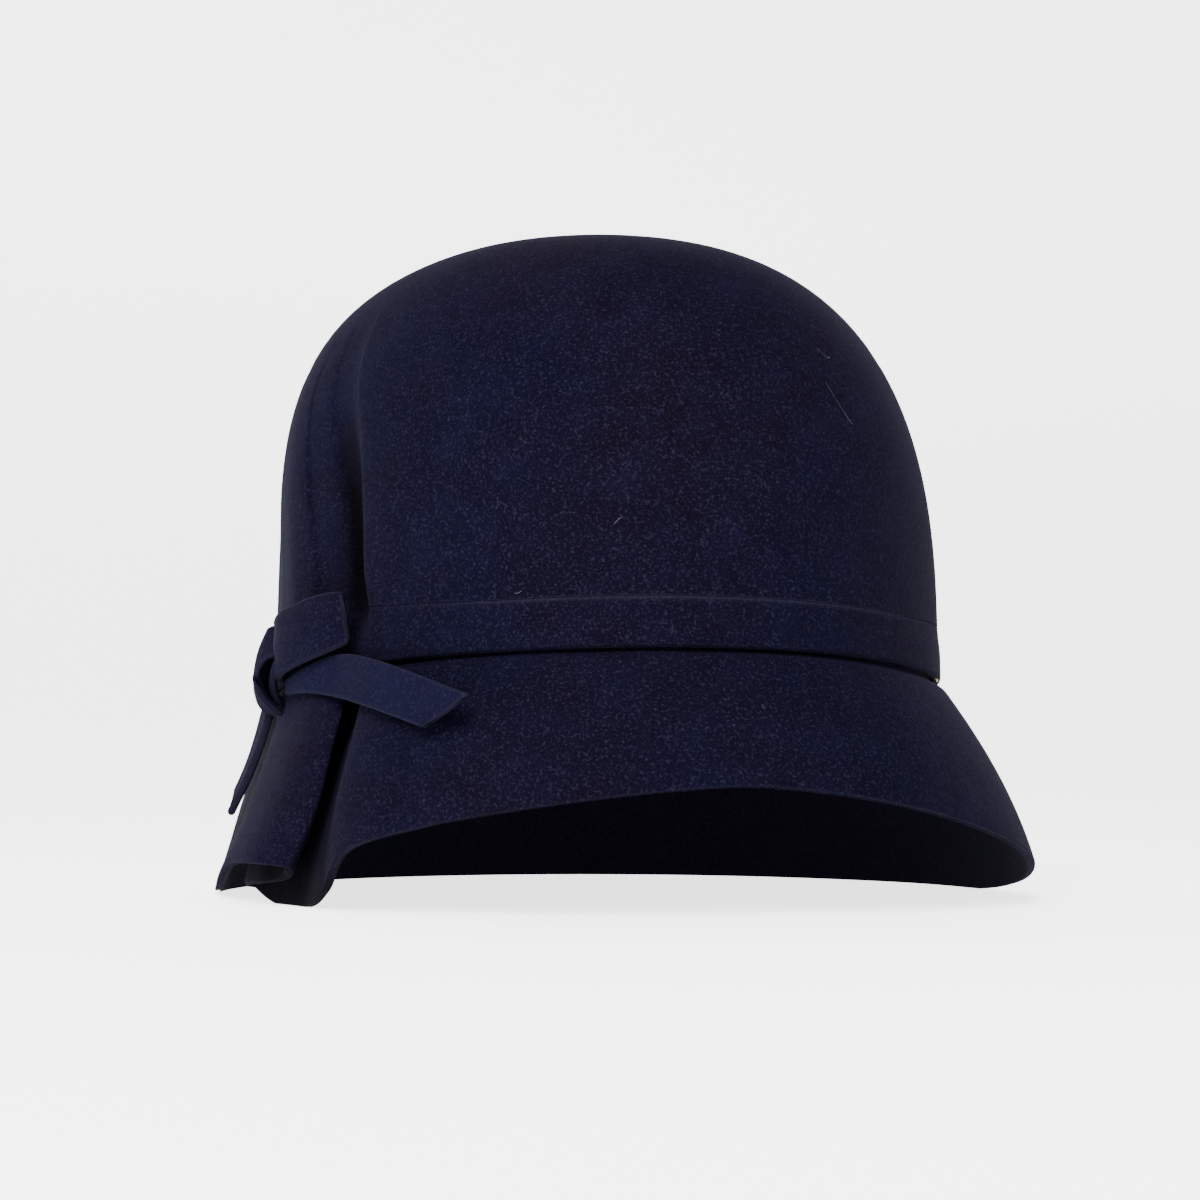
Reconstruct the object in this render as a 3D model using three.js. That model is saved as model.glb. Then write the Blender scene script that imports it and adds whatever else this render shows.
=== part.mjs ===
import * as THREE from 'three';

// A wool-felt cloche hat with a knotted felt trim. Millimetres, +Z up. The hat stands on its rim at
// z = 0, its front faces -Y and the wearer's right is -X. Headings are in degrees: 0 is the front,
// 90 the wearer's right and 180 the back.

const FELT = 2.0;                                   // thickness of the felt
const HEAD = { halfWidth: 85, halfLength: 102, level: 51, sideTilt: -0.01, frontTilt: -0.057 };
const TOP = { x: -4.2, y: 2, z: 166, squareness: 3.46, roundness: 3.03 };
const RIM = { halfWidth: 105.3, halfLength: 122, x: 4.4, y: 3, bell: 0.44 };
const ARCH = { at: 4, high: 27.7, right: 110, left: 97, power: 1.52 };
const BAND = { front: 12, side: 17, bulge: 0.5, lip: 0.8, back: 1.6, gap: 0.55 };
const TUCKED = 1.4;                                 // felt shaved thin where it is under the band
const CENTRE = { x: 5.3, y: 3 };                    // middle of the whole hat, moved onto the origin
const STRIP = { thick: 2.0 };                       // the trim's felt strip

// The drape on the wearer's right, one row per level. Level 0 is the crown's top, 1 the headline and
// 2 the rim. front: heading of the groove's front shoulder. depth: how far the groove sinks, mm.
// lap: degrees by which the fold tucks behind the roll's front edge (negative: an open groove).
// crest: heading of the roll's front edge. lift: the roll's height, mm. back: where the roll ends,
// and sag: how far the felt lies outside (negative: inside) the plain oval there, mm.
const DRAPE = [
  //  level front depth lap crest lift back sag
  [0.16, 58, 0.0, -6, 74, 0.0, 104, 0.0],
  [0.36, 57, 1.6, -7, 76, 0.2, 104, -0.5],
  [0.52, 54, 4.4, -8, 74, 0.6, 104, -1.2],
  [0.68, 53, 7.0, -8, 70, 1.0, 102, -2.0],
  [0.80, 53, 7.8, -7, 68, 1.2, 100, -2.1],
  [0.86, 52, 6.0, -7, 68, 1.0, 98, -1.6],
  [0.91, 51, 3.0, -7, 68, 0.8, 98, -0.8],
  [0.96, 50, 1.2, -7, 68, 0.6, 98, -0.3],
  [1.02, 50, 1.4, -6, 66, 0.6, 96, -0.3],
  [1.06, 51, 3.8, -2, 62, 0.6, 94, -1.2],
  [1.14, 51, 7.4, 8, 58, 0.4, 94, -3.4],
  [1.35, 50, 8.8, 16, 57, 0.2, 94, -5.0],
  [1.70, 49.5, 10.0, 21, 57.5, 0.0, 95, -5.0],
  [2.00, 48.5, 11.0, 20, 61, 0.2, 98, -2.6],
];
// Height of the rim at each control point of the drape, front to back.
const DRAPE_RIM = [19.9, 13.9, 4.0, 0, 0, 3.5, 5.0, 6.5, 9.0, 10.0, 9.5, 2.0, 0];
const DRAPE_FROM = 36;
const DRAPE_TO = 116;
const DRAPE_COLUMNS = 36;
const PLAIN_COLUMNS = 42;

const FELT_COLOUR = 0x14182f;
const TRIM_COLOUR = 0x181c36;

const rad = Math.PI / 180;
const clamp = (v, low, high) => Math.min(high, Math.max(low, v));
const ease = (v) => { const s = clamp(v, 0, 1); return s * s * (3 - 2 * s); };
const mix = (a, b, s) => a + (b - a) * s;
const ovalRadius = (a, b, heading) => 1 / Math.hypot(Math.sin(heading) / a, Math.cos(heading) / b);

// One column of the drape table at a level, as a smooth cubic through its rows.
function drapeValue(column, level) {
  const rows = DRAPE;
  const x = clamp(level, rows[0][0], rows[rows.length - 1][0]);
  let i = 0;
  while (i < rows.length - 2 && x > rows[i + 1][0]) i += 1;
  const slope = (k) => {
    const a = rows[Math.max(k - 1, 0)];
    const b = rows[Math.min(k + 1, rows.length - 1)];
    return (b[column] - a[column]) / (b[0] - a[0]);
  };
  const h = rows[i + 1][0] - rows[i][0];
  const s = (x - rows[i][0]) / h;
  const y0 = rows[i][column];
  const y1 = rows[i + 1][column];
  return y0 * (1 + 2 * s) * (1 - s) ** 2 + slope(i) * h * s * (1 - s) ** 2
    + y1 * s * s * (3 - 2 * s) - slope(i + 1) * h * s * s * (1 - s);
}

// The drape's section at a level: control points of [heading, offset from the plain oval, rim height].
function drapeSection(level) {
  const [front, depth, lap, crest, lift, back, sag] = [1, 2, 3, 4, 5, 6, 7]
    .map((c) => drapeValue(c, level));
  const rolled = ease(lap / 10);
  const tip = crest + lap;
  const floor = tip - front;
  return [
    [DRAPE_FROM, 0],
    [front, -0.04 * depth],
    [front + 0.24 * floor, -0.6 * depth],
    [front + 0.48 * floor, -depth],
    [front + 0.8 * floor, -0.98 * depth],
    [tip, -mix(0.58, 0.8, rolled) * depth],
    [crest + 0.55 * lap, -mix(0.36, 0.6, rolled) * depth],
    [crest + 0.16 * lap, -mix(0.2, 0.6, rolled) * depth],
    [crest, 0.3 * lift - mix(0.05, 0.3, rolled) * depth],
    [crest + mix(0.18, 0.12, rolled) * (back - crest), lift],
    [crest + 0.45 * (back - crest), mix(0.8 * lift, sag, 0.3)],
    [back, sag],
    [DRAPE_TO, 0],
  ].map(([heading, offset], i) => [heading, offset, DRAPE_RIM[i]]);
}

// A smooth curve through points, at station s counted in spans. Its tangents allow for uneven spans.
function through(points, s) {
  const last = points.length - 1;
  const i = clamp(Math.floor(s), 0, last - 1);
  const w = s - i;
  const gap = (k) => Math.sqrt(0.2 + Math.hypot(...[0, 1, 2].map((c) => points[k + 1][c] - points[k][c])));
  const tangent = (k, c) => {
    if (k === 0) return (points[1][c] - points[0][c]) / gap(0);
    if (k === last) return (points[last][c] - points[last - 1][c]) / gap(last - 1);
    const [a, b] = [gap(k - 1), gap(k)];
    return ((points[k][c] - points[k - 1][c]) * b / a + (points[k + 1][c] - points[k][c]) * a / b) / (a + b);
  };
  const h = gap(i);
  return points[i].map((_, c) => points[i][c] * (1 + 2 * w) * (1 - w) ** 2
    + points[i + 1][c] * w * w * (3 - 2 * w)
    + h * tangent(i, c) * w * (1 - w) ** 2 - h * tangent(i + 1, c) * w * w * (1 - w));
}

function rimHeight(heading) {
  const turn = ((heading - ARCH.at + 540) % 360) - 180;
  const span = turn > 0 ? ARCH.right : ARCH.left;
  return ARCH.high * Math.max(0, 1 - (Math.abs(turn) / span) ** ARCH.power) ** 2;
}

// The visible felt surface. u goes round the hat: 0 to 0.5 through the drape, 0.5 to 1 over the rest.
function surface(u, level) {
  let heading = DRAPE_TO + (360 + DRAPE_FROM - DRAPE_TO) * (u - 0.5) * 2;
  let offset = 0;
  let rim = rimHeight(heading);
  if (u < 0.5) {
    const section = drapeSection(level);
    [heading, offset, rim] = through(section, u * 2 * (section.length - 1));
    rim = Math.max(rim, 0);
  }
  const a = heading * rad;
  const head = ovalRadius(HEAD.halfWidth, HEAD.halfLength, a);
  const hx = -head * Math.sin(a);
  const hy = -head * Math.cos(a);
  const hz = HEAD.level + HEAD.sideTilt * hx + HEAD.frontTilt * hy;
  let point;
  if (level <= 1) {
    const c = 1 - level;
    const size = (1 - c ** TOP.squareness) ** (1 / TOP.roundness);
    point = [hx * size + TOP.x * c ** 1.5, hy * size + TOP.y * c ** 1.5, mix(hz, TOP.z, c)];
  } else {
    const k = level - 1;
    const r = ovalRadius(RIM.halfWidth, RIM.halfLength, a);
    const out = k + RIM.bell * k * (1 - k);
    point = [mix(hx, RIM.x - r * Math.sin(a), out), mix(hy, RIM.y - r * Math.cos(a), out),
      mix(hz, rim, k)];
  }
  return new THREE.Vector3(point[0] - offset * Math.sin(a), point[1] - offset * Math.cos(a), point[2]);
}

// The surface moved along its outward normal; level 2 moves level, so the rim stays cut flat.
function skin(u, level, off) {
  const point = surface(u, level);
  const before = surface((u + 0.992) % 1, level);
  const after = surface((u + 0.008) % 1, level);
  const along = after.sub(before);
  const down = level >= 2 ? new THREE.Vector3(0, 0, -1)
    : surface(u, Math.min(level + 0.01, 2)).sub(surface(u, Math.max(level - 0.01, 0.001)));
  return point.addScaledVector(along.cross(down).normalize(), off);
}

const columns = [
  ...Array.from({ length: DRAPE_COLUMNS }, (_, i) => 0.5 * i / DRAPE_COLUMNS),
  ...Array.from({ length: PLAIN_COLUMNS }, (_, i) => 0.5 + 0.5 * i / PLAIN_COLUMNS),
];

// The band is lower over the forehead than at the sides and back.
function bandHeight(u) {
  const p = surface(u, 1);
  const heading = Math.abs(Math.atan2(p.x, -p.y)) / rad;
  return mix(BAND.front, BAND.side, ease((heading - 25) / 60));
}

// A row is [level, off] or, near the band, { up: mm above the headline, fromTop: mm, off }.
const CROWN_SPAN = TOP.z - HEAD.level;
function ring(row) {
  return columns.map((u) => {
    if (Array.isArray(row)) return skin(u, row[0], row[1]);
    const up = 'fromTop' in row ? bandHeight(u) + row.fromTop : row.up;
    return skin(u, 1 - up / CROWN_SPAN, row.off);
  });
}

// Closed felt wall from rings listed down the outside and back up the inside. With poles the first
// and last rings close on a point each; without, the last ring joins the first.
function wall(rings, poles) {
  const n = columns.length;
  const points = rings.flat();
  const faces = [];
  const bands = poles ? rings.length - 1 : rings.length;
  for (let r = 0; r < bands; r += 1) {
    const a = r * n;
    const b = ((r + 1) % rings.length) * n;
    for (let i = 0; i < n; i += 1) {
      const j = (i + 1) % n;
      faces.push(a + i, b + j, b + i, a + i, a + j, b + j);
    }
  }
  if (poles) {
    const first = points.push(poles[0]) - 1;
    const last = points.push(poles[1]) - 1;
    const end = (rings.length - 1) * n;
    for (let i = 0; i < n; i += 1) {
      const j = (i + 1) % n;
      faces.push(first, j, i, end + j, last, end + i);
    }
  }
  return solid(points, faces);
}

function solid(points, faces) {
  const geometry = new THREE.BufferGeometry();
  geometry.setAttribute('position', new THREE.Float32BufferAttribute(points.flatMap((p) => p.toArray()), 3));
  geometry.setIndex(faces);
  geometry.computeVertexNormals();
  return geometry;
}

// A flat felt strip swept through stations [x, y, z, heading and pitch its outer face looks to, width].
// cut moves the upper or right-hand edge of the far end along the strip, for a diagonal end, in mm.
function strip(stations, spans, cut = 0) {
  const last = stations.length - 1;
  const rings = [];
  for (let i = 0; i <= spans; i += 1) {
    const s = last * i / spans;
    const [x, y, z, heading, pitch, width] = through(stations, s);
    const next = new THREE.Vector3(...through(stations, Math.min(s + 0.01, last)));
    const path = next.sub(new THREE.Vector3(...through(stations, Math.min(s, last - 0.01)))).normalize();
    const h = heading * rad;
    const p = pitch * rad;
    const face = new THREE.Vector3(-Math.sin(h) * Math.cos(p), -Math.cos(h) * Math.cos(p), Math.sin(p));
    const side = face.cross(path).normalize();
    const out = path.clone().cross(side);
    const slant = cut * Math.max(0, s - last + 1) ** 2;
    rings.push([[-1, -1], [1, -1], [1, 1], [-1, 1]].map(([w, t]) => new THREE.Vector3(x, y, z)
      .addScaledVector(side, w * width / 2).addScaledVector(out, t * STRIP.thick / 2)
      .addScaledVector(path, w * slant / 2)));
  }
  const faces = [];
  for (let r = 0; r < spans; r += 1) {
    for (let i = 0; i < 4; i += 1) {
      const a = r * 4 + i;
      const b = r * 4 + (i + 1) % 4;
      faces.push(a, b, b + 4, a, b + 4, a + 4);
    }
  }
  const e = spans * 4;
  faces.push(0, 2, 1, 0, 3, 2, e, e + 1, e + 2, e, e + 2, e + 3);
  return solid(rings.flat(), faces);
}

const hat = new THREE.Group();
hat.position.set(-CENTRE.x, -CENTRE.y, 0);

function add(name, geometry, colour) {
  const material = new THREE.MeshStandardMaterial({ color: colour, roughness: 0.95, metalness: 0 });
  const mesh = new THREE.Mesh(geometry, material);
  mesh.name = name;
  hat.add(mesh);
}

// Crown: the dome, from its top down behind the band, where the wall steps in by the band's thickness.
const domeLevel = (size) => 1 - (1 - size ** TOP.roundness) ** (1 / TOP.squareness);
const domeLevels = [...[0.22, 0.42, 0.6, 0.74, 0.85].map(domeLevel), 0.3, 0.4, 0.5, 0.6, 0.7, 0.78];
const inset = -BAND.back - BAND.gap;
const crownRings = [
  ...domeLevels.map((level) => ring([level, 0])),
  ring({ fromTop: 0.8, off: 0 }),
  ring({ fromTop: 0.4, off: -BAND.lip - BAND.gap }),
  ring({ fromTop: -3, off: inset }),
  ring({ up: 6.4, off: inset }),
  ring({ up: 6.4, off: inset - TUCKED }),
  ring({ fromTop: -3, off: inset - TUCKED }),
  ring({ fromTop: 2.5, off: -FELT - 0.4 }),
  ...domeLevels.map((level) => ring([level, -FELT])).reverse(),
];
add('crown', wall(crownRings, [new THREE.Vector3(TOP.x, TOP.y, TOP.z),
  new THREE.Vector3(TOP.x, TOP.y, TOP.z - FELT)]), FELT_COLOUR);

// Band: a tuck of the same felt, pressed thin along its top and standing proud at its lower edge.
add('band', wall([
  ring({ fromTop: 0, off: -0.05 }),
  ring({ fromTop: -1, off: 0.15 }),
  ring({ fromTop: -5, off: BAND.bulge }),
  ring({ up: 2.5, off: BAND.bulge + 0.1 }),
  ring({ up: 0.5, off: BAND.bulge - 0.2 }),
  ring({ up: 0, off: -0.2 }),
  ring({ up: 0, off: -1.5 }),
  ring({ up: 0.8, off: -BAND.back }),
  ring({ up: 4.6, off: -BAND.back }),
  ring({ fromTop: -3, off: -BAND.back }),
  ring({ fromTop: -0.2, off: -BAND.lip }),
]), FELT_COLOUR);

// Brim: tucked under the band, bell-shaped, with the rolled pleat at the drape.
add('brim', wall([
  ring({ up: 4.6, off: inset }),
  ring({ up: 1, off: inset }),
  ring([1.015, inset + 0.1]),
  ring([1.06, -0.8]),
  ring([1.14, 0]),
  ring([1.24, 0]),
  ring([1.36, 0]),
  ring([1.52, 0]),
  ring([1.68, 0]),
  ring([1.84, 0]),
  ring([2, 0]),
  ring([2, -FELT]),
  ring([1.84, -FELT]),
  ring([1.68, -FELT]),
  ring([1.52, -FELT]),
  ring([1.36, -FELT]),
  ring([1.24, -FELT]),
  ring([1.14, -FELT]),
  ring([1.06, -FELT - 0.8]),
  ring({ up: 1, off: inset - TUCKED }),
  ring({ up: 4.6, off: inset - TUCKED }),
]), FELT_COLOUR);

// Knot wrap: the strip laid across the pinched fold, its front end turned in toward the groove.
add('knot_wrap', strip([
  [-87.3, -20.0, 60.4, 84, 0, 15.0],
  [-87.5, -31.0, 61.6, 74, 2, 15.0],
  [-84.2, -42.0, 63.6, 62, 3, 14.5],
  [-79.6, -50.2, 65.2, 50, 3, 13.5],
  [-76.4, -53.6, 66.0, 30, 3, 12.0],
], 14), TRIM_COLOUR);

// Knot loop: the same strip behind the wrap, bulging out and turning under at its bottom.
add('knot_loop', strip([
  [-86.9, -9.5, 66.6, 84, 10, 11.5],
  [-89.4, -10.8, 60.0, 80, 4, 12.5],
  [-90.5, -15.2, 53.2, 74, -12, 13.0],
  [-90.0, -21.5, 48.9, 66, -50, 11.5],
], 10), TRIM_COLOUR);

// Front tie end: comes out under the wrap and points forward, its tip cut on the diagonal.
add('tie_front', strip([
  [-85.7, -27.0, 51.2, 76, 0, 3.5],
  [-82.8, -38.4, 52.4, 66, 6, 6.2],
  [-77.7, -50.0, 52.8, 58, 8, 9.8],
  [-73.0, -66.5, 50.4, 48, 4, 10.5],
  [-61.2, -91.5, 43.2, 36, 4, 10.0],
], 16, 11), TRIM_COLOUR);

// Rear tie end: hangs behind the roll.
add('tie_rear', strip([
  [-86.6, 1.0, 47.0, 90, 6, 11.0],
  [-88.4, 3.0, 39.0, 91, 10, 12.0],
  [-91.0, 4.0, 31.0, 92, 12, 12.0],
  [-94.2, 5.0, 23.5, 92, 14, 10.0],
], 10, 6), TRIM_COLOUR);

export default hat;
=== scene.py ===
import bpy
import numpy as np
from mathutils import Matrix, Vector


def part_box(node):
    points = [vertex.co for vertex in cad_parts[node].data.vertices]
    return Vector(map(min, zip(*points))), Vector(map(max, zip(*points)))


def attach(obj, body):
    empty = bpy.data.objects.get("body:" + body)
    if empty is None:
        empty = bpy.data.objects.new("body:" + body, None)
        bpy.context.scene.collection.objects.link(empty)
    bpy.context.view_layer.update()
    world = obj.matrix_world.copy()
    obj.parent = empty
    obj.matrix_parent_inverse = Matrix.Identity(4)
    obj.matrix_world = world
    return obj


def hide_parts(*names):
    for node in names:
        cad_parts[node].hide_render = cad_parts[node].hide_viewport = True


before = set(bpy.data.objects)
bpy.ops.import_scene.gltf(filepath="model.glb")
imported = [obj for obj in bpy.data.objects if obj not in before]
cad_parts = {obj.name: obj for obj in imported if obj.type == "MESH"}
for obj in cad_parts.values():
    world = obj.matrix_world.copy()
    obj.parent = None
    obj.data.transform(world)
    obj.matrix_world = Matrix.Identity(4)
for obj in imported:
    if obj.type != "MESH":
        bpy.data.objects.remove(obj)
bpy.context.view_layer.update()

# Viewpoint. The hat is seen from its right front quarter, from just above the surface that it
# stands on and half a metre away, so the near side of the brim looms a little.
EYE = Vector((-0.157, -0.500, 0.026))
AIM = Vector((-0.004, 0.0, 0.0775))
LENS_MM = 59.0

camera = bpy.data.objects.new("viewpoint", bpy.data.cameras.new("viewpoint"))
camera.data.lens = LENS_MM
camera.data.clip_start = 0.01
camera.location = EYE
camera.rotation_euler = (AIM - EYE).to_track_quat("-Z", "Y").to_euler()
bpy.context.scene.collection.objects.link(camera)
bpy.context.scene.camera = camera


class Shade:
    """A shader socket that can be used in Python arithmetic. Without a socket it stands for its tree."""

    def __init__(self, tree, socket=None):
        self.tree = tree
        self.socket = socket

    def node(self, kind, settings, sockets, output=0):
        """Any node: its settings are set first, then its sockets' values or links."""
        made = self.tree.nodes.new(kind)
        stops = settings.pop("stops", None)
        for name, value in settings.items():
            setattr(made, name, value)
        if stops:
            ramp = made.color_ramp
            for place, value in stops[len(ramp.elements):]:
                ramp.elements.new(place)
            for element, (place, value) in zip(ramp.elements, stops):
                element.position = place
                element.color = (value, value, value, 1)
        for name, value in sockets.items():
            if isinstance(value, Shade):
                self.tree.links.new(value.socket, made.inputs[name])
            else:
                made.inputs[name].default_value = value
        return Shade(self.tree, made.outputs[output] if made.outputs else None)

    def maths(self, operation, *terms):
        return self.node("ShaderNodeMath", {"operation": operation}, dict(enumerate(terms)))

    def __add__(self, other):
        return self.maths("ADD", self, other)

    def __mul__(self, other):
        return self.maths("MULTIPLY", self, other)

    __radd__ = __add__
    __rmul__ = __mul__


# Studio. A pale paper sweep: level under the hat, then turned up behind it in one wide curve.
SWEEP_COLOUR = (0.80, 0.80, 0.80, 1)
SWEEP_GLOW = 3.3
SWEEP_HALF_WIDTH = 6.0
SWEEP_FRONT = -6.0
SWEEP_BEND = (1.6, 0.9)
SWEEP_HIGH = 3.0


def paper_sweep(across, along):
    """x is straight across; y and z run along the floor, round a quarter circle and up the wall."""
    start, radius = SWEEP_BEND
    floor = start - SWEEP_FRONT
    bend = radius * np.pi / 2
    travel = along * (floor + bend + SWEEP_HIGH)
    turn = np.clip((travel - floor) / radius, 0, np.pi / 2)
    wall = np.maximum(travel - floor - bend, 0)
    y = SWEEP_FRONT + np.minimum(travel, floor) + radius * np.sin(turn)
    z = radius * (1 - np.cos(turn)) + wall
    return np.stack([(2 * across - 1) * SWEEP_HALF_WIDTH, y, z], -1)


def open_sheet(name, points):
    """A mesh of a grid of points, rows by columns, with smooth shading."""
    rows, columns = points.shape[:2]
    index = np.arange(rows * columns).reshape(rows, columns)
    quads = np.stack([index[:-1, :-1], index[:-1, 1:], index[1:, 1:], index[1:, :-1]], -1)
    mesh = bpy.data.meshes.new(name)
    mesh.from_pydata(points.reshape(-1, 3).tolist(), [], quads.reshape(-1, 4).tolist())
    mesh.polygons.foreach_set("use_smooth", np.ones(len(mesh.polygons), bool))
    piece = bpy.data.objects.new(name, mesh)
    bpy.context.scene.collection.objects.link(piece)
    return piece


along, across = np.meshgrid(np.linspace(0, 1, 120), np.linspace(0, 1, 3), indexing="ij")
sweep = open_sheet("paper_sweep", paper_sweep(across, along))
paper = bpy.data.materials.new("paper")
paper.use_nodes = True
paper.node_tree.nodes["Principled BSDF"].inputs["Base Color"].default_value = SWEEP_COLOUR
paper.node_tree.nodes["Principled BSDF"].inputs["Roughness"].default_value = 0.9
paper.node_tree.nodes["Principled BSDF"].inputs["Emission Color"].default_value = SWEEP_COLOUR
paper.node_tree.nodes["Principled BSDF"].inputs["Emission Strength"].default_value = SWEEP_GLOW
sweep.data.materials.append(paper)

# Lights: a big soft box high on the left in front, a weak one low on the right, one overhead behind.
SOFT_BOXES = {
    #         place                 size  watts  colour
    "key": ((-0.80, -1.15, 0.95), 0.9, 98.0, (1.0, 0.98, 0.96)),
    "fill": ((1.30, -1.10, 0.55), 1.2, 6.0, (0.95, 0.97, 1.0)),
    "back": ((-0.20, 1.00, 1.50), 1.0, 3.0, (1.0, 1.0, 1.0)),
}
for name, (place, size, watts, colour) in SOFT_BOXES.items():
    lamp = bpy.data.objects.new(name, bpy.data.lights.new(name, "AREA"))
    lamp.data.size = size
    lamp.data.energy = watts
    lamp.data.color = colour
    lamp.location = place
    lamp.rotation_euler = (Vector((0, 0, 0.08)) - Vector(place)).to_track_quat("-Z", "Y").to_euler()
    bpy.context.scene.collection.objects.link(lamp)

SKY_COLOUR = (0.93, 0.95, 1.0, 1)
SKY_STRENGTH = 0.55
sky = bpy.data.worlds.new("studio_air")
sky.use_nodes = True
sky.node_tree.nodes["Background"].inputs["Color"].default_value = SKY_COLOUR
sky.node_tree.nodes["Background"].inputs["Strength"].default_value = SKY_STRENGTH
bpy.context.scene.world = sky

# Wool felt. Matted navy wool with a short nap: cloudy dye, a fine grain of fibre tips that catch
# the light, curled fibres and a few pale specks of lint. Painted into the colour too: a painted highlight
# where it is creased or cut (where cut, partly the raw core as well), painted shade deep in folds and
# on the inner face, and paler painted faces on the knotted strips.
NAVY = (0.0010, 0.0009, 0.0041, 1)
NAVY_PALE = (0.0023, 0.0023, 0.0094, 1)
PLUM = (0.0016, 0.0009, 0.0031, 1)
FIBRE_TIP = (0.0136, 0.0118, 0.0285, 1)
# The next colour is a painted highlight on creases and cut edges; on cut edges it stands partly for the raw
# core too.
EDGE_CORE_AND_HIGHLIGHT = (0.0083, 0.0075, 0.0150, 1)
LINT = (0.20, 0.20, 0.22, 1)
# The next colour is painted shade: near black, for deep folds and the hood's inside.
PAINTED_SHADE_COLOUR = (0.0006, 0.0003, 0.0005, 1)
LINT_SCALE, LINT_SIZE, LINT_SHARE = 105.0, 0.030, 0.045


def wool_felt(name, painted_lightness):
    """Navy felt. The second argument is 0 for the hood and up to 1 for a strip painted paler and bluer,
    a painted highlight for strips that face the light.

    Reads two attributes: one is 1 on a cut or creased edge, painted lighter there (painted highlight, on
    cut edges partly the raw core too); the other is 1 deep in a fold, painted near black there as
    painted shade.
    """
    material = bpy.data.materials.new(name)
    material.use_nodes = True
    tree = material.node_tree
    tree.nodes.clear()
    felt = Shade(tree)
    place = felt.node("ShaderNodeTexCoord", {}, {}, "Object")
    edge_core_and_highlight = felt.node("ShaderNodeAttribute", {"attribute_name": "edge_core_and_highlight"}, {}, "Fac")
    painted_shade = felt.node("ShaderNodeAttribute", {"attribute_name": "painted_shade"}, {}, "Fac")

    def noise(scale, detail, roughness):
        return felt.node("ShaderNodeTexNoise", {}, {
            "Vector": place, "Scale": scale, "Detail": detail, "Roughness": roughness})

    def ramp(value, low, high):
        return felt.node("ShaderNodeValToRGB", {"stops": [(low, 0.0), (high, 1.0)]}, {0: value})

    def blend(amount, low, high):
        return felt.node("ShaderNodeMix", {"data_type": "RGBA"}, {0: amount, 6: low, 7: high}, 2)

    cloud = noise(22.0, 3.0, 0.55)
    patch = noise(95.0, 3.0, 0.6)
    grain = noise(1500.0, 3.0, 0.75)
    clump = noise(620.0, 4.0, 0.7)
    curl = felt.node("ShaderNodeTexNoise", {"noise_type": "RIDGED_MULTIFRACTAL"}, {
        "Vector": place, "Scale": 430.0, "Detail": 4.0, "Roughness": 0.6, "Distortion": 0.8})
    cell, rare = (felt.node("ShaderNodeTexVoronoi", {}, {"Vector": place, "Scale": LINT_SCALE}, part)
                  for part in ("Distance", "Color"))

    # The felt's colour: the dye first, then painted highlight and painted shade blended in.
    dye_and_painted_light = blend(ramp(cloud, 0.35, 0.65), PLUM, NAVY)
    pale = ramp(patch, 0.40, 0.72)
    # Random paler patches, and the strip's face painted paler as a painted highlight.
    dye_and_painted_light = blend(pale * 0.35 + 0.75 * painted_lightness, dye_and_painted_light, NAVY_PALE)
    tips = ramp(grain, 0.52, 0.74)
    wisps = ramp(curl, 0.55, 0.95)
    dye_and_painted_light = blend(tips * 0.60 + wisps * 0.12, dye_and_painted_light, FIBRE_TIP)
    # Painted highlight on creases and cut edges, on cut edges partly the raw core.
    dye_and_painted_light = blend(edge_core_and_highlight * (0.35 + clump * 0.5), dye_and_painted_light, EDGE_CORE_AND_HIGHLIGHT)
    # Painted shade: near black deep in folds and on the hood's inner face.
    dye_and_painted_light = blend(painted_shade * 0.92, dye_and_painted_light, PAINTED_SHADE_COLOUR)
    chosen = felt.node("ShaderNodeSeparateColor", {}, {0: rare}, "Red")
    speck = (felt.maths("LESS_THAN", cell, LINT_SIZE)
             * felt.maths("GREATER_THAN", chosen, 1 - LINT_SHARE))
    dye_and_painted_light = blend(speck * 0.8, dye_and_painted_light, LINT)

    height = grain * 0.16 + clump * 0.15 + curl * 0.05 + patch * 0.16
    bump = felt.node("ShaderNodeBump", {}, {"Height": height, "Distance": 0.001, "Strength": 1.0})
    surface = felt.node("ShaderNodeBsdfPrincipled", {}, {
        "Base Color": dye_and_painted_light,
        "Roughness": 0.92 + clump * 0.10,
        "IOR": 1.45,
        "Specular IOR Level": 0.02,
        "Sheen Weight": 0.008,
        "Sheen Roughness": 0.45,
        "Sheen Tint": (0.40, 0.38, 0.95, 1),
        "Normal": bump})
    felt.node("ShaderNodeOutputMaterial", {}, {"Surface": surface})
    return material


hood_felt = wool_felt("hood_felt", 0.0)

# The hood. Crown, band and brim are one blocked felt body; this is the surface they all lie on.
# Level 0 is the crown's top, 1 the headline and 2 the rim. Headings are 0 at the front and 90 at
# the wearer's right, where the felt is drawn into a groove and a rolled pleat. In mm until meshed.
MM = 0.001
FELT = 2.0
MIDDLE = np.array([-5.3, -3.0, 0.0])
HEAD_HALF_WIDTH, HEAD_HALF_LENGTH, HEAD_LEVEL = 85.0, 102.0, 51.0
HEAD_TILT = (-0.01, -0.057)
TOP_SHIFT = (-4.2, 2.0)
TOP_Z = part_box("crown")[1].z / MM
TOP_SQUARENESS, TOP_ROUNDNESS = 3.46, 3.03
RIM_HALF_WIDTH, RIM_HALF_LENGTH, RIM_SHIFT, RIM_BELL = 105.3, 122.0, (4.4, 3.0), 0.44
ARCH_AT, ARCH_HIGH, ARCH_RIGHT, ARCH_LEFT, ARCH_POWER = 4.0, 27.7, 110.0, 97.0, 1.52
CROWN_SPAN = TOP_Z - HEAD_LEVEL
DRAPE_FROM, DRAPE_TO = 36.0, 116.0
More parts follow.
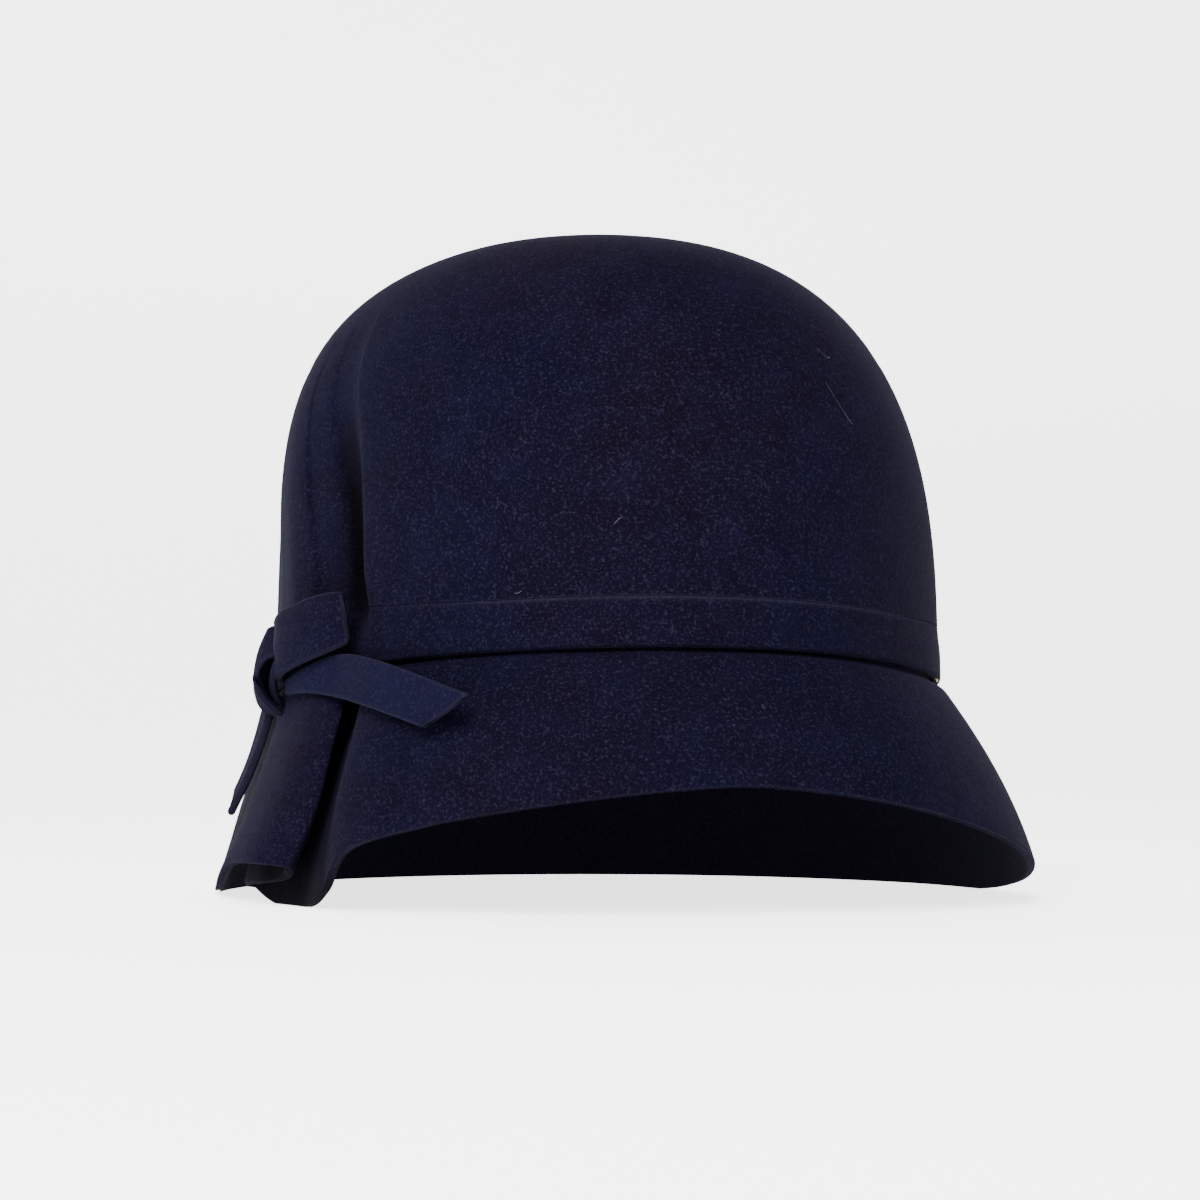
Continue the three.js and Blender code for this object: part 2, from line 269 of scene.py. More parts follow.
# front: the groove's front shoulder. depth: the groove's, mm. lap: degrees by which the fold tucks
# in behind the roll (negative: an open groove). crest: the roll's front edge. lift: the roll's
# height, mm. back: where the roll ends, and sag: how far out (negative: in) the felt lies there, mm.
DRAPE = np.array([
    # level front depth lap crest lift back sag
    [0.16, 58, 0.0, -6, 74, 0.0, 104, 0.0],
    [0.36, 57, 1.6, -7, 76, 0.2, 104, -0.5],
    [0.52, 54, 4.4, -8, 74, 0.6, 104, -1.2],
    [0.68, 53, 7.0, -8, 70, 1.0, 102, -2.0],
    [0.80, 53, 7.8, -7, 68, 1.2, 100, -2.1],
    [0.86, 52, 6.0, -7, 68, 1.0, 98, -1.6],
    [0.91, 51, 3.0, -7, 68, 0.8, 98, -0.8],
    [0.96, 50, 1.2, -7, 68, 0.6, 98, -0.3],
    [1.02, 50, 1.4, -6, 66, 0.6, 96, -0.3],
    [1.06, 51, 3.8, -2, 62, 0.6, 94, -1.2],
    [1.14, 51, 7.4, 8, 58, 0.4, 94, -3.4],
    [1.35, 50, 8.8, 16, 57, 0.2, 94, -5.0],
    [1.70, 49.5, 10.0, 21, 57.5, 0.0, 95, -5.0],
    [2.00, 48.5, 11.0, 20, 61, 0.2, 98, -2.6],
])
DRAPE_RIM = np.array([19.9, 13.9, 4.0, 0, 0, 3.5, 5.0, 6.5, 9.0, 10.0, 9.5, 2.0, 0])


def ease(value):
    s = np.clip(value, 0, 1)
    return s * s * (3 - 2 * s)


def mix(a, b, s):
    return a + (b - a) * s


def hermite(start, end, start_slope, end_slope, w):
    """The cubic from start to end, w from 0 to 1, with these slopes per unit of w."""
    return (start * (1 + 2 * w) * (1 - w) ** 2 + end * w * w * (3 - 2 * w)
            + start_slope * w * (1 - w) ** 2 - end_slope * w * w * (1 - w))


def drape_values(level):
    """The drape table's columns at each level: cubics whose slopes are those between a row's neighbours."""
    last = len(DRAPE) - 1
    x = np.clip(level, DRAPE[0, 0], DRAPE[last, 0])
    i = np.clip(np.searchsorted(DRAPE[:, 0], x, side="right") - 1, 0, last - 1)
    after = DRAPE[np.minimum(np.arange(last + 1) + 1, last)]
    before = DRAPE[np.maximum(np.arange(last + 1) - 1, 0)]
    slope = (after - before) / (after[:, :1] - before[:, :1])
    span = (DRAPE[i + 1, 0] - DRAPE[i, 0])[:, None]
    w = (x - DRAPE[i, 0])[:, None] / span
    return hermite(DRAPE[i], DRAPE[i + 1], slope[i] * span, slope[i + 1] * span, w)[:, 1:].T


def drape_section(level):
    """The drape's section at each level, front to back: 13 points of heading, offset and rim height."""
    front, depth, lap, crest, lift, back, sag = drape_values(level)
    rolled = ease(lap / 10)
    tip = crest + lap
    floor = tip - front
    same = np.ones_like(level)
    heading = [DRAPE_FROM * same, front, front + 0.24 * floor, front + 0.48 * floor,
               front + 0.8 * floor, tip, crest + 0.55 * lap, crest + 0.16 * lap, crest,
               crest + mix(0.18, 0.12, rolled) * (back - crest), crest + 0.45 * (back - crest),
               back, DRAPE_TO * same]
    offset = [0 * same, -0.04 * depth, -0.6 * depth, -depth, -0.98 * depth,
              -mix(0.58, 0.8, rolled) * depth, -mix(0.36, 0.6, rolled) * depth,
              -mix(0.2, 0.6, rolled) * depth, 0.3 * lift - mix(0.05, 0.3, rolled) * depth,
              lift, mix(0.8 * lift, sag, 0.3), sag, 0 * same]
    rim = DRAPE_RIM[:, None] * same
    return np.stack([heading, offset, rim], -1).transpose(1, 0, 2)


def through(points, s):
    """A smooth curve through each row of points, at s counted in spans; tangents allow for uneven spans."""
    last = points.shape[1] - 1
    i = np.clip(s.astype(int), 0, last - 1)
    step = np.diff(points, axis=1)
    gap = np.sqrt(0.2 + np.linalg.norm(step[..., :3], axis=2))[..., None]
    tangent = np.empty_like(points)
    tangent[:, 0] = step[:, 0] / gap[:, 0]
    tangent[:, -1] = step[:, -1] / gap[:, -1]
    a, b = gap[:, :-1], gap[:, 1:]
    tangent[:, 1:-1] = (step[:, :-1] * b / a + step[:, 1:] * a / b) / (a + b)
    row = np.arange(len(s))
    h = gap[row, i]
    return hermite(points[row, i], points[row, i + 1], h * tangent[row, i],
                   h * tangent[row, i + 1], (s - i)[:, None])


def hood_point(u, level):
    """Ovals from the top to the headline and on to the rim, less the drape's offset along the heading.

    u goes round: 0 to 0.5 through the drape, 0.5 to 1 over the rest. Returns points and offsets.
    """
    heading = DRAPE_TO + (360 + DRAPE_FROM - DRAPE_TO) * (u - 0.5) * 2
    turn = (heading - ARCH_AT + 540) % 360 - 180
    reach = np.abs(turn) / np.where(turn > 0, ARCH_RIGHT, ARCH_LEFT)
    rim = ARCH_HIGH * np.maximum(0, 1 - reach ** ARCH_POWER) ** 2
    offset = np.zeros_like(u)
    draped = u < 0.5
    section = drape_section(level[draped])
    folded = through(section, u[draped] * 2 * (section.shape[1] - 1))
    heading[draped] = folded[:, 0]
    offset[draped] = folded[:, 1]
    rim[draped] = np.maximum(folded[:, 2], 0)

    a = np.radians(heading)
    out = np.stack([-np.sin(a), -np.cos(a)], -1)
    head = 1 / np.hypot(out[:, 0] / HEAD_HALF_WIDTH, out[:, 1] / HEAD_HALF_LENGTH)
    edge = 1 / np.hypot(out[:, 0] / RIM_HALF_WIDTH, out[:, 1] / RIM_HALF_LENGTH)
    head_xy = head[:, None] * out
    head_z = HEAD_LEVEL + head_xy @ np.array(HEAD_TILT)
    c = np.clip(1 - level, 0, 1)
    size = (1 - c ** TOP_SQUARENESS) ** (1 / TOP_ROUNDNESS)
    upper = np.column_stack([head_xy * size[:, None] + np.array(TOP_SHIFT) * (c ** 1.5)[:, None],
                             mix(head_z, TOP_Z, c)])
    k = np.clip(level - 1, 0, 1)
    flare = (k + RIM_BELL * k * (1 - k))[:, None]
    lower = np.column_stack([mix(head_xy, np.array(RIM_SHIFT) + edge[:, None] * out, flare),
                             mix(head_z, rim, k)])
    point = np.where((level <= 1)[:, None], upper, lower)
    point[:, :2] += offset[:, None] * out
    return point + MIDDLE, offset


# Blocking by hand leaves long, shallow swells in the felt: waves of 45 to 95 mm, a fraction of a
# millimetre high.
SWELLS = np.random.default_rng(11)
SWELL_WAVES = SWELLS.normal(size=(7, 3))
SWELL_WAVES *= (2 * np.pi / SWELLS.uniform(45, 95, 7) / np.linalg.norm(SWELL_WAVES, axis=1))[:, None]
SWELL_PHASES = SWELLS.uniform(0, 2 * np.pi, 7)
SWELL_HIGH = 0.11


def hood_skin(u, level, off):
    """The hood's surface moved off mm along its outward normal, with the swells, and the offsets.

    Both keep the grid's shape. The normal is the slope round the hood crossed with the slope down.
    """
    shape = u.shape
    u, level, off = (np.broadcast_to(value, shape).ravel() for value in (u, level, off))
    point, offset = hood_point(u, level)
    along_u = hood_point((u + 0.006) % 1, level)[0] - hood_point((u + 0.994) % 1, level)[0]
    down = (hood_point(u, np.minimum(level + 0.008, 2))[0]
            - hood_point(u, np.maximum(level - 0.008, 0.001))[0])
    down[level >= 1.9999] = (0, 0, -1)
    normal = np.cross(along_u, down)
    normal /= np.linalg.norm(normal, axis=1)[:, None]
    swell = SWELL_HIGH * np.sin(point @ SWELL_WAVES.T + SWELL_PHASES).sum(1)
    point = point + normal * (off + swell)[:, None]
    return point.reshape(*shape, 3), offset.reshape(shape)


DRAPE_STEPS, PLAIN_STEPS = 260, 210
# Share of painted shade on the hood's inner face.
INSIDE_PAINTED_SHADE = 0.6
around = np.concatenate([np.linspace(0, 0.5, DRAPE_STEPS, endpoint=False),
                         np.linspace(0.5, 1, PLAIN_STEPS, endpoint=False)])


def level_up(height):
    """The level of a height in mm above the headline."""
    return 1 - height / CROWN_SPAN


def felt_wall(name, rows, poles=None):
    """A closed wall of felt from rows of (level, off, edge lightness), down the outside and up the inside.

    Each value is a number or one per column. With poles, the first and last rows close on a point
    each; without, the last row joins the first. The edge lightness weights a painted highlight, on cut
    edges partly the raw core too. The painted shade attribute follows the drape's depth, darkening the
    groove, and is a fixed share of painted shade on the wall's inner face.
    """
    level, off, edge_core_and_highlight = (np.stack([np.broadcast_to(row[k], around.shape) for row in rows]).astype(float)
                         for k in range(3))
    u = np.broadcast_to(around, level.shape)
    points, offset = hood_skin(u, level, off)
    # Painted shade: darker the deeper the drape's groove, and a fixed share on the inner face.
    painted_shade = np.maximum(ease((-offset - 1.5) / 5.0), INSIDE_PAINTED_SHADE * ease((-off - 1.3) / 0.4))
    count, columns = level.shape
    index = np.arange(count * columns).reshape(count, columns)
    here, below = (index[:-1], index[1:]) if poles else (index, np.roll(index, -1, axis=0))
    quads = np.stack([here, np.roll(here, -1, 1), np.roll(below, -1, 1), below], -1).reshape(-1, 4)
    points, edge_core_and_highlight, painted_shade = points.reshape(-1, 3), edge_core_and_highlight.ravel(), painted_shade.ravel()
    faces = quads.tolist()
    if poles:
        first, last = len(points), len(points) + 1
        right = np.roll(index, -1, 1)
        faces += np.stack([np.full(columns, first), right[0], index[0]], -1).tolist()
        faces += np.stack([right[-1], np.full(columns, last), index[-1]], -1).tolist()
        points = np.vstack([points, poles])
        edge_core_and_highlight, painted_shade = np.append(edge_core_and_highlight, [0, 0]), np.append(painted_shade, [0, 0])
    mesh = bpy.data.meshes.new(name)
    mesh.from_pydata((points * MM).tolist(), [], faces)
    mesh.polygons.foreach_set("use_smooth", np.ones(len(mesh.polygons), bool))
    for key, values in (("edge_core_and_highlight", edge_core_and_highlight), ("painted_shade", painted_shade)):
        mesh.attributes.new(key, "FLOAT", "POINT").data.foreach_set("value", values.astype(np.float32))
    piece = bpy.data.objects.new(name, mesh)
    bpy.context.scene.collection.objects.link(piece)
    return piece


# Crown. The domed top of the hood, pinched at the wearer's right. Its lower edge rolls in behind the
# band; the felt that is hidden there is stepped in by the band's thickness and ends in the seam.
BAND_FRONT, BAND_SIDE = 12.0, 17.0
TUCK_OFF, TUCK_THICK = -2.15, 1.4
# The band's top crease: its rounding in mm and the strength of its painted highlight.
CREASE_ROUND, CREASE_HIGHLIGHT = 0.25, 0.9
SEAM = 0.1
head_points = hood_point(around, np.ones_like(around))[0] - MIDDLE
head_heading = np.degrees(np.abs(np.arctan2(head_points[:, 0], -head_points[:, 1])))
band_high = mix(BAND_FRONT, BAND_SIDE, ease((head_heading - 25) / 60))


def dome_level(size):
    """The level at which the dome's oval has this share of its full size."""
    return 1 - (1 - size ** TOP_ROUNDNESS) ** (1 / TOP_SQUARENESS)


def rounded(radius, steps):
    """(back, in) for a quarter round, from flat to square on: both as distances in mm."""
    turn = np.linspace(0, np.pi / 2, steps)
    return np.stack([radius * np.sin(turn), radius * (1 - np.cos(turn))], -1)


crown_levels = np.concatenate([dome_level(np.linspace(0.03, 0.86, 34)), np.linspace(0.305, 0.80, 62)])
crown_rows = [(level, 0, 0) for level in crown_levels]
crown_rows += [(mix(0.80, level_up(band_high + SEAM + CREASE_ROUND), s), 0, 0)
               for s in np.linspace(0.1, 1, 14)]
# The crease's painted highlight fades out near the knot, where the crease lies in shade.
crease_highlight_fade = ease((np.abs(head_heading - 70) - 18) / 30)
crown_rows += [(level_up(band_high + SEAM + CREASE_ROUND - back), -deep, CREASE_HIGHLIGHT * crease_highlight_fade)
               for back, deep in rounded(CREASE_ROUND, 5)[1:]]
crown_rows += [(level_up(band_high - 3), TUCK_OFF, 0), (level_up(5.7), TUCK_OFF, 0),
               (level_up(5.7), TUCK_OFF - TUCK_THICK, 0.6),
               (level_up(band_high - 3), TUCK_OFF - TUCK_THICK, 0)]
crown_rows += [(mix(level_up(band_high + 2.5), 0.78, s), -FELT - 0.4 * (1 - s), 0)
               for s in np.linspace(0, 1, 8)]
crown_rows += [(level, -FELT, 0) for level in crown_levels[crown_levels < 0.77][::-2]]
top = np.array([*TOP_SHIFT, TOP_Z]) + MIDDLE
crown = felt_wall("crown_felt", crown_rows, poles=[top, top - [0, 0, FELT]])
crown.data.materials.append(hood_felt)
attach(crown, "root")
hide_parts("crown")

# Band. A tuck pressed into the same felt: a faint pressed crease along its top, and along its lower
# edge the fold of the tuck, which stands a little proud of the brim.
BAND_BULGE = 0.55
FOLD_ROUND = 0.9
# Painted highlight along the crease and just below it, and a faint one on the lower fold.
band_rows = [(level_up(band_high - CREASE_ROUND + back), -deep, CREASE_HIGHLIGHT * crease_highlight_fade)
             for back, deep in rounded(CREASE_ROUND, 5)[::-1]]
band_rows += [(level_up(mix(band_high - CREASE_ROUND, FOLD_ROUND + 0.5, s)), BAND_BULGE * ease(s * 1.6),
               0.5 * crease_highlight_fade * max(0, 1 - 9 * s)) for s in np.linspace(0.06, 1, 26)]
band_rows += [(level_up(FOLD_ROUND + 0.5 - back), BAND_BULGE - deep, 0.12)
              for back, deep in rounded(FOLD_ROUND, 7)[1:]]
band_rows += [(level_up(0.4), -1.2, 0), (level_up(0.8), -1.6, 0), (level_up(4.6), -1.6, 0),
              (level_up(band_high - 3), -1.6, 0), (level_up(band_high - 0.2), -0.9, 0)]
band = felt_wall("band_felt", band_rows)
band.data.materials.append(hood_felt)
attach(band, "root")
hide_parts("band")

# Brim. The lower part of the hood, flared like a bell and rolled into a knife pleat at the wearer's
# right. Its rim is cut square with shears and left raw; the cut is painted lighter, partly for the
# felt's core and partly as a painted highlight.
RIM_ROUND = 0.6
RIM_SLOPE = 56.0
# Strength of the cut rim's lighter colour: partly the raw core, partly a painted highlight.
RIM_CORE_AND_HIGHLIGHT = 0.3
brim_rows = [(level_up(5.4), TUCK_OFF, 0), (level_up(1.0), TUCK_OFF, 0), (1.0, TUCK_OFF + 0.2, 0)]
brim_rows += [(mix(1.004, 1.075, s), mix(-1.35, 0, ease(s ** 0.7)), 0) for s in np.linspace(0, 1, 9)]
brim_rows += [(level, 0, 0) for level in np.linspace(1.085, 1.985, 92)]
brim_rows += [(2 - (RIM_ROUND - back) / RIM_SLOPE, -deep, RIM_CORE_AND_HIGHLIGHT * (0.25 + 0.75 * deep / RIM_ROUND))
              for back, deep in rounded(RIM_ROUND, 6)]
brim_rows += [(2, -FELT / 2, RIM_CORE_AND_HIGHLIGHT)]
brim_rows += [(2 - (RIM_ROUND - back) / RIM_SLOPE, deep - FELT, RIM_CORE_AND_HIGHLIGHT * (0.25 + 0.75 * deep / RIM_ROUND))
              for back, deep in rounded(RIM_ROUND, 6)[::-1]]
brim_rows += [(level, -FELT, 0) for level in np.linspace(1.985, 1.085, 46)]
brim_rows += [(1.06, -FELT - 0.8, 0), (level_up(1.0), TUCK_OFF - TUCK_THICK, 0),
              (level_up(5.4), TUCK_OFF - TUCK_THICK, 0.6)]
brim = felt_wall("brim_felt", brim_rows)
brim.data.materials.append(hood_felt)
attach(brim, "root")
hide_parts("brim")

# Knotted trim. A strip cut from the same felt, laid across the pinched fold: its wrap over the front,
# a loop bulging out behind it, and two free ends. Stations run along each stretch of the strip.
STRIP_THICK = 2.0
STRIP_ROUND = 0.7
STRIP_ROWS = 150
# The strips are painted paler and bluer than the hood, the front tie end most: a painted highlight for faces
# turned to the light.
strip_felt_painted_lighter = wool_felt("strip_felt_painted_lighter", 0.15)
tab_felt_painted_lighter = wool_felt("tab_felt_painted_lighter", 0.75)


def strip_section(half_width, half_thick):
    """Points round the strip's section: a rectangle with round corners, as (across, out) in mm."""
    flat = np.linspace(-1, 1, 15)
    turn = np.linspace(0, np.pi / 2, 5)
    corner = np.stack([np.sin(turn), np.cos(turn)], -1) * STRIP_ROUND
    w, t = half_width - STRIP_ROUND, half_thick - STRIP_ROUND
    top_edge = np.stack([flat[1:-1] * w, np.full(13, half_thick)], -1)
    right = corner + [w, t]
    low_right = corner[::-1] * [1, -1] + [w, -t]
    return np.vstack([top_edge, right, low_right, -top_edge, -right, -low_right])


def felt_strip(name, stations, cut, relief):
    """A felt strip swept through stations of x, y, z, the heading and pitch its face looks to, and width.

    The side vector is the face's direction crossed with the path, and the strip's own normal is the
    path crossed with that side. cut slides the section along the path by up to half of it at each
    edge of the far end, for a diagonal end. relief(s, across) gives the swell of the strip in mm.
    """
    stations = np.array(stations, float)
    stations[:, :3] += MIDDLE
    last = len(stations) - 1
    s = np.linspace(0, last, STRIP_ROWS)
    many = np.broadcast_to(stations, (STRIP_ROWS, *stations.shape))
    middle = through(many, s)
    path = through(many, np.minimum(s + 0.01, last)) - through(many, np.maximum(s - 0.01, 0))
    path = path[:, :3] / np.linalg.norm(path[:, :3], axis=1)[:, None]
    heading, pitch = np.radians(middle[:, 3]), np.radians(middle[:, 4])
    face = np.stack([-np.sin(heading) * np.cos(pitch), -np.cos(heading) * np.cos(pitch), np.sin(pitch)], -1)
    side = np.cross(face, path)
    side /= np.linalg.norm(side, axis=1)[:, None]
    out = np.cross(path, side)

    travel = np.concatenate([[0], np.cumsum(np.linalg.norm(np.diff(middle[:, :3], axis=0), axis=1))])
    to_end = np.minimum(travel, travel[-1] - travel)
    blunt = np.sqrt(1 - np.clip(1 - to_end / STRIP_ROUND, 0, 1) ** 2)
    thick = STRIP_THICK / 2 - STRIP_ROUND * (1 - blunt)
    sections = np.stack([strip_section(width / 2 - STRIP_ROUND * (1 - b), t)
                         for width, b, t in zip(middle[:, 5], blunt, thick)])
    across, rise = sections[..., 0], sections[..., 1]
    share = across / (middle[:, 5:6] / 2)
    slant = cut * np.clip(s - last + 1, 0, 1)[:, None] ** 2 * share / 2
    swell = relief(s[:, None] / last, share)
    points = (middle[:, None, :3] + across[..., None] * side[:, None]
              + (rise + swell)[..., None] * out[:, None] + slant[..., None] * path[:, None])
    # Painted highlight on the strip's cut edges and ends, partly the raw core too.
    edge_core_and_highlight = np.clip((np.abs(across) - middle[:, 5:6] / 2 + STRIP_ROUND) / STRIP_ROUND, 0, 1)
    edge_core_and_highlight = np.maximum(edge_core_and_highlight, (1 - np.clip(to_end / STRIP_ROUND, 0, 1))[:, None])

    columns = sections.shape[1]
    index = np.arange(STRIP_ROWS * columns).reshape(STRIP_ROWS, columns)
    here, ahead = index[:-1], index[1:]
    quads = np.stack([here, ahead, np.roll(ahead, -1, 1), np.roll(here, -1, 1)], -1).reshape(-1, 4)
    first, end = index.size, index.size + 1
    right = np.roll(index, -1, 1)
    caps = [np.stack([np.full(columns, first), index[0], right[0]], -1),
            np.stack([np.full(columns, end), right[-1], index[-1]], -1)]
    verts = np.vstack([points.reshape(-1, 3), points[0].mean(0), points[-1].mean(0)])
    mesh = bpy.data.meshes.new(name)
    mesh.from_pydata((verts * MM).tolist(), [], quads.tolist() + caps[0].tolist() + caps[1].tolist())
    mesh.polygons.foreach_set("use_smooth", np.ones(len(mesh.polygons), bool))
    values = np.append(edge_core_and_highlight.ravel(), [1, 1]).astype(np.float32)
    mesh.attributes.new("edge_core_and_highlight", "FLOAT", "POINT").data.foreach_set("value", values)
    piece = bpy.data.objects.new(name, mesh)
    bpy.context.scene.collection.objects.link(piece)
    return piece


# Knot wrap: drawn tight over the fold, so it domes along its middle and dips toward the groove.
wrap = felt_strip("knot_wrap_felt", [
    [-87.3, -20.0, 60.4, 84, 0, 15.0],
    [-87.5, -31.0, 61.6, 74, 2, 15.0],
    [-84.2, -42.0, 63.6, 62, 3, 14.5],
    [-79.6, -50.2, 65.2, 50, 3, 13.5],
    [-76.4, -53.6, 66.0, 30, 3, 12.0],
], 0, lambda s, across: 0.9 * (1 - across ** 2) * np.sin(np.pi * s) + 0.16 * np.sin(7 * across + 9 * s))
wrap.data.materials.append(strip_felt_painted_lighter)
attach(wrap, "root")
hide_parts("knot_wrap")

# Knot loop: the strip's way round the back of the knot, puffed out, its edges drawn in to the hood
# and its bottom turned under.
loop = felt_strip("knot_loop_felt", [
    [-86.9, -9.5, 66.6, 84, 10, 15.5],
    [-89.4, -10.8, 60.0, 80, 4, 17.0],
    [-90.5, -15.2, 53.2, 74, -12, 17.0],
    [-90.0, -21.5, 48.9, 66, -50, 14.0],
], 0, lambda s, across: 0.5 - 3.2 * across ** 2 * (1 - 0.5 * s))
loop.data.materials.append(strip_felt_painted_lighter)
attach(loop, "root")
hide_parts("knot_loop")

# Inside the loop the strip comes back on itself, close to the hood.
loop_inside = felt_strip("knot_loop_inside_felt", [
    [-86.2, -8.5, 63.5, 86, 8, 13.0],
    [-87.6, -11.5, 59.0, 82, 4, 15.0],
    [-88.0, -16.0, 53.6, 76, -8, 15.0],
    [-87.8, -20.5, 50.6, 70, -30, 13.0],
], 0, lambda s, across: 0.2 - 1.6 * across ** 2)
loop_inside.data.materials.append(strip_felt_painted_lighter)
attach(loop_inside, "root")

# Front tie end: comes out from under the wrap and points forward, its tip cut on the diagonal.
tie_front = felt_strip("tie_front_felt", [
    [-85.7, -27.0, 51.2, 76, 0, 3.5],
    [-82.8, -38.4, 52.4, 66, 6, 6.2],
    [-77.7, -50.0, 52.8, 58, 8, 9.8],
    [-73.0, -66.5, 50.4, 48, 4, 10.5],
    [-61.2, -91.5, 43.2, 36, 4, 10.0],
], 11, lambda s, across: 0.35 * across ** 2 * s)
tie_front.data.materials.append(tab_felt_painted_lighter)
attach(tie_front, "root")
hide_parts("tie_front")

# Rear tie end: hangs behind the roll, its lower edge cut square.
tie_rear = felt_strip("tie_rear_felt", [
    [-86.6, 1.0, 47.0, 90, 6, 11.0],
    [-88.4, 3.0, 39.0, 91, 10, 12.0],
    [-91.0, 4.0, 31.0, 92, 12, 12.0],
    [-94.2, 5.0, 23.5, 92, 14, 10.0],
], 6, lambda s, across: 0.3 * across ** 2 * s)
tie_rear.data.materials.append(strip_felt_painted_lighter)
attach(tie_rear, "root")
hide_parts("tie_rear")

# Nap. Loose ends of wool that stand out of the felt: bent fibres up to three quarters of a millimetre
# long, most of them lying nearly flat. Each is a flat blade of two short faces with a pointed tip.
NAP_LONG = (0.30, 0.75)
NAP_WIDE = 0.032
NAP_COLOUR = (0.0041, 0.0039, 0.0110, 1)
fibre_wool = bpy.data.materials.new("fibre_wool")
fibre_wool.use_nodes = True
wool = fibre_wool.node_tree.nodes["Principled BSDF"]
wool.inputs["Roughness"].default_value = 0.7
wool.inputs["Specular IOR Level"].default_value = 0.06
shade = Shade(fibre_wool.node_tree)
tuft = shade.node("ShaderNodeTexNoise", {}, {
    "Vector": shade.node("ShaderNodeTexCoord", {}, {}, "Object"), "Scale": 900.0}, "Fac")
lit = shade.node("ShaderNodeMix", {"data_type": "RGBA"}, {0: tuft, 6: NAVY, 7: NAP_COLOUR}, 2)
fibre_wool.node_tree.links.new(lit.socket, wool.inputs["Base Color"])


def nap(name, felt, faces, count, seed):
    """Fibres rooted at random, evenly by area, on the first faces of a felt piece, all of them quads.

    Each leans from a random tangent toward the normal by 8 to 40 degrees, and its tip bends aside.
    """
    rng = np.random.default_rng(seed)
    mesh = felt.data
    verts = np.empty(len(mesh.vertices) * 3)
    mesh.vertices.foreach_get("co", verts)
    corners = np.empty(len(mesh.loops), int)
    mesh.loops.foreach_get("vertex_index", corners)
    quad = verts.reshape(-1, 3)[corners[:faces * 4].reshape(-1, 4)]
    normal = np.cross(quad[:, 2] - quad[:, 0], quad[:, 3] - quad[:, 1])
    area = np.linalg.norm(normal, axis=1)
    chosen = rng.choice(faces, count, p=area / area.sum())
    normal = normal[chosen] / area[chosen, None]
    s, t = rng.uniform(size=(2, count, 1))
    near = mix(quad[chosen, 0], quad[chosen, 1], s)
    far = mix(quad[chosen, 3], quad[chosen, 2], s)
    root = mix(near, far, t)
    tangent = np.cross(rng.normal(size=(count, 3)), normal)
    tangent /= np.linalg.norm(tangent, axis=1)[:, None]
    side = np.cross(normal, tangent)
    lean = np.radians(rng.uniform(8, 40, (count, 1)))
    long = rng.uniform(*NAP_LONG, (count, 1)) * MM
    middle = root + long * 0.5 * (tangent * np.cos(lean) + normal * np.sin(lean))
    tip = middle + long * 0.5 * (tangent * 0.9 + side * rng.uniform(-0.7, 0.7, (count, 1)) + normal * 0.1)
    half = side * NAP_WIDE * MM / 2
    points = np.stack([root - half, root + half, middle + half * 0.8, middle - half * 0.8, tip], 1)
    start = np.arange(count)[:, None] * 5
    blades = (start + [0, 1, 2, 3]).tolist() + (start + [3, 2, 4]).tolist()
    fibres = bpy.data.meshes.new(name)
    fibres.from_pydata(points.reshape(-1, 3).tolist(), [], blades)
    fibres.materials.append(fibre_wool)
    piece = bpy.data.objects.new(name, fibres)
    bpy.context.scene.collection.objects.link(piece)
    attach(piece, "root")
    return piece


HOOD_ROW = len(around)
STRIP_FACES = (STRIP_ROWS - 1) * 46
NAPPED = [
    # piece       felt       faces           fibres  slot
    ("crown", crown, 112 * HOOD_ROW, 52000, "crown"),
    ("band", band, 34 * HOOD_ROW, 14000, "band"),
    ("brim", brim, 108 * HOOD_ROW, 40000, "brim"),
    ("wrap", wrap, STRIP_FACES, 1400, "knot"),
    ("loop", loop, STRIP_FACES, 1200, "knot"),
    ("tie_front", tie_front, STRIP_FACES, 1600, "tie_front"),
    ("tie_rear", tie_rear, STRIP_FACES, 900, "tie_rear"),
]
for seed, (piece_name, felt_piece, faces, count, slot) in enumerate(NAPPED, 1):
    nap(f"{piece_name}_nap", felt_piece, faces, count, seed)

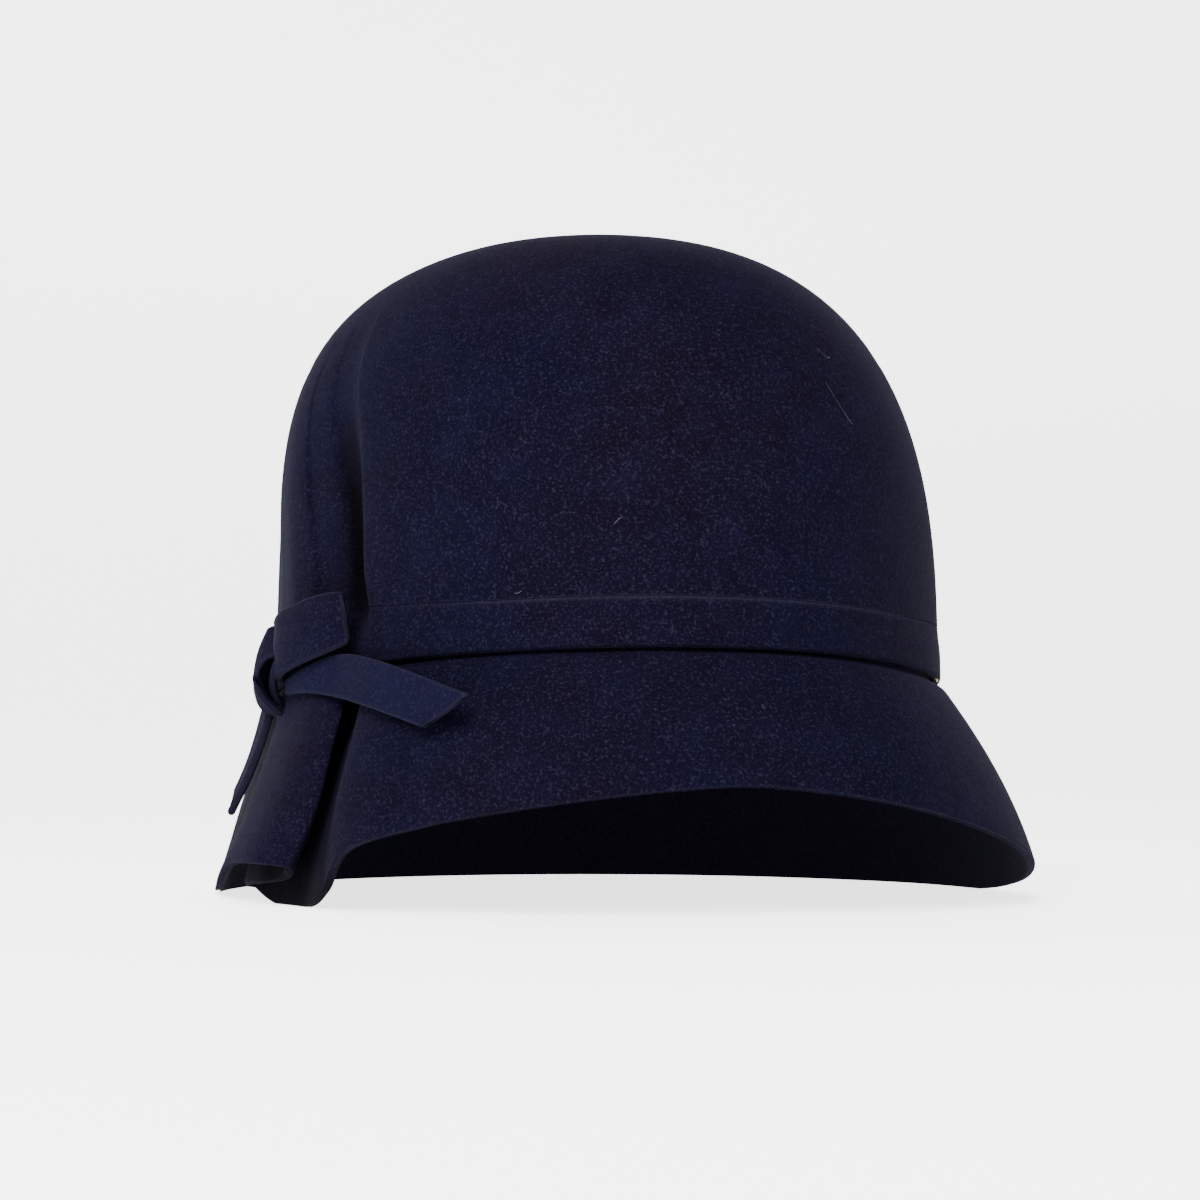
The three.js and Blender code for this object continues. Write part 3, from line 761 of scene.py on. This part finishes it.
# Lint. A few stray pale hairs caught in the nap of the crown, and a tan speck on the band's edge.
HAIR_WIDE, SPECK_WIDE = 0.055, 0.7
LINT_HAIRS = [
    # u     level  turn  long  curl
    (0.905, 0.42, 1.9, 11.0, 0.9),
    (0.900, 0.36, 0.8, 5.0, -2.0),
    (0.960, 0.74, 0.3, 2.6, 0.5),
    (0.985, 0.88, 2.4, 2.2, 1.6),
    (0.935, 1.42, 0.2, 4.0, 2.2),
    (0.865, 1.30, 2.8, 5.0, -1.2),
    (0.720, 0.55, 1.1, 8.0, 1.3),
]
TAN_SPECK = (0.862, 1.03, 1.0, 1.6, 0.3)
hair_wool = bpy.data.materials.new("lint_hair")
hair_wool.use_nodes = True
hair_wool.node_tree.nodes["Principled BSDF"].inputs["Base Color"].default_value = (0.030, 0.030, 0.042, 1)
hair_wool.node_tree.nodes["Principled BSDF"].inputs["Roughness"].default_value = 0.6
tan_straw = bpy.data.materials.new("tan_speck")
tan_straw.use_nodes = True
tan_straw.node_tree.nodes["Principled BSDF"].inputs["Base Color"].default_value = (0.45, 0.28, 0.13, 1)


def stray_hair(name, u, level, turn, long, curl, wide, material):
    """A flat ribbon just off the hood that starts in one direction and turns steadily, like an arc."""
    steps = np.linspace(0, 1, 24)
    heading = turn + curl * steps
    run = long / 23 * np.stack([np.cos(heading), np.sin(heading)], -1)
    walk = np.cumsum(run, axis=0)
    across = np.stack([-np.sin(heading), np.cos(heading)], -1) * wide / 2
    edges = np.stack([walk - across, walk + across])
    around_mm, down_mm = 1100.0, 90.0
    lift = 0.35 + 0.5 * np.sin(np.pi * steps)
    points = hood_skin(u + edges[..., 0] / around_mm, level + edges[..., 1] / down_mm,
                       np.broadcast_to(lift, edges.shape[:2]))[0]
    hair = open_sheet(name, points * MM)
    hair.data.materials.append(material)
    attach(hair, "root")


for number, hair in enumerate(LINT_HAIRS):
    stray_hair(f"lint_hair_{number}", *hair, HAIR_WIDE, hair_wool)
stray_hair("tan_speck", *TAN_SPECK, SPECK_WIDE, tan_straw)
